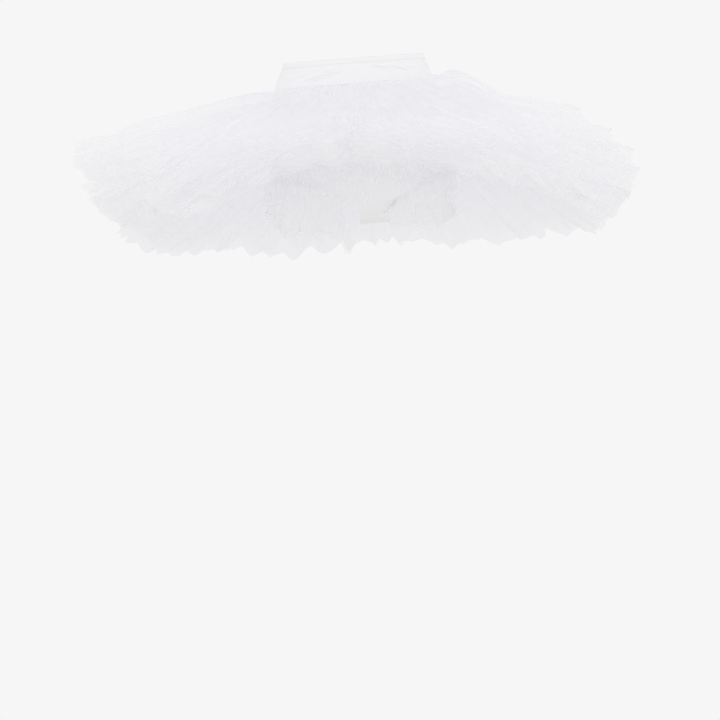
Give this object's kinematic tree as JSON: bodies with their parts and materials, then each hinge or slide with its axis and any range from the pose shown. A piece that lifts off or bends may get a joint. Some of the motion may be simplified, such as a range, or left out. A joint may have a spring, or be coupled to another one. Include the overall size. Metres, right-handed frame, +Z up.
{
  "type": "tutu skirt",
  "caption": "Worn practice tutu: stretch yoke and brief with tiers of gathered net held out in a shallow dish, and short ruffles over the seat and legs.",
  "frame": {"origin": "middle of the waist opening, at the waist edge", "axes": "+Z up, +X towards the wearer's right side, +Y towards the wearer's front, so the back faces -Y"},
  "size_m": [0.9466, 0.9098, 0.3538],
  "materials": {
    "stretch_knit": "smooth satin knit",
    "net": "matt soft net",
    "sheer_net": "matt single net, see-through"
  },
  "bodies": {
    "root": {"yoke_back": "stretch_knit", "yoke_front": "stretch_knit", "brief_back": "stretch_knit", "brief_front": "stretch_knit", "net_tier_1": "net", "net_tier_2": "net", "net_tier_3": "net", "net_tier_4": "net", "net_tier_5": "net", "net_tier_6": "net", "seat_ruffle": "net", "leg_ruffle_left": "sheer_net", "leg_ruffle_right": "sheer_net"}
  },
  "joints": []
}
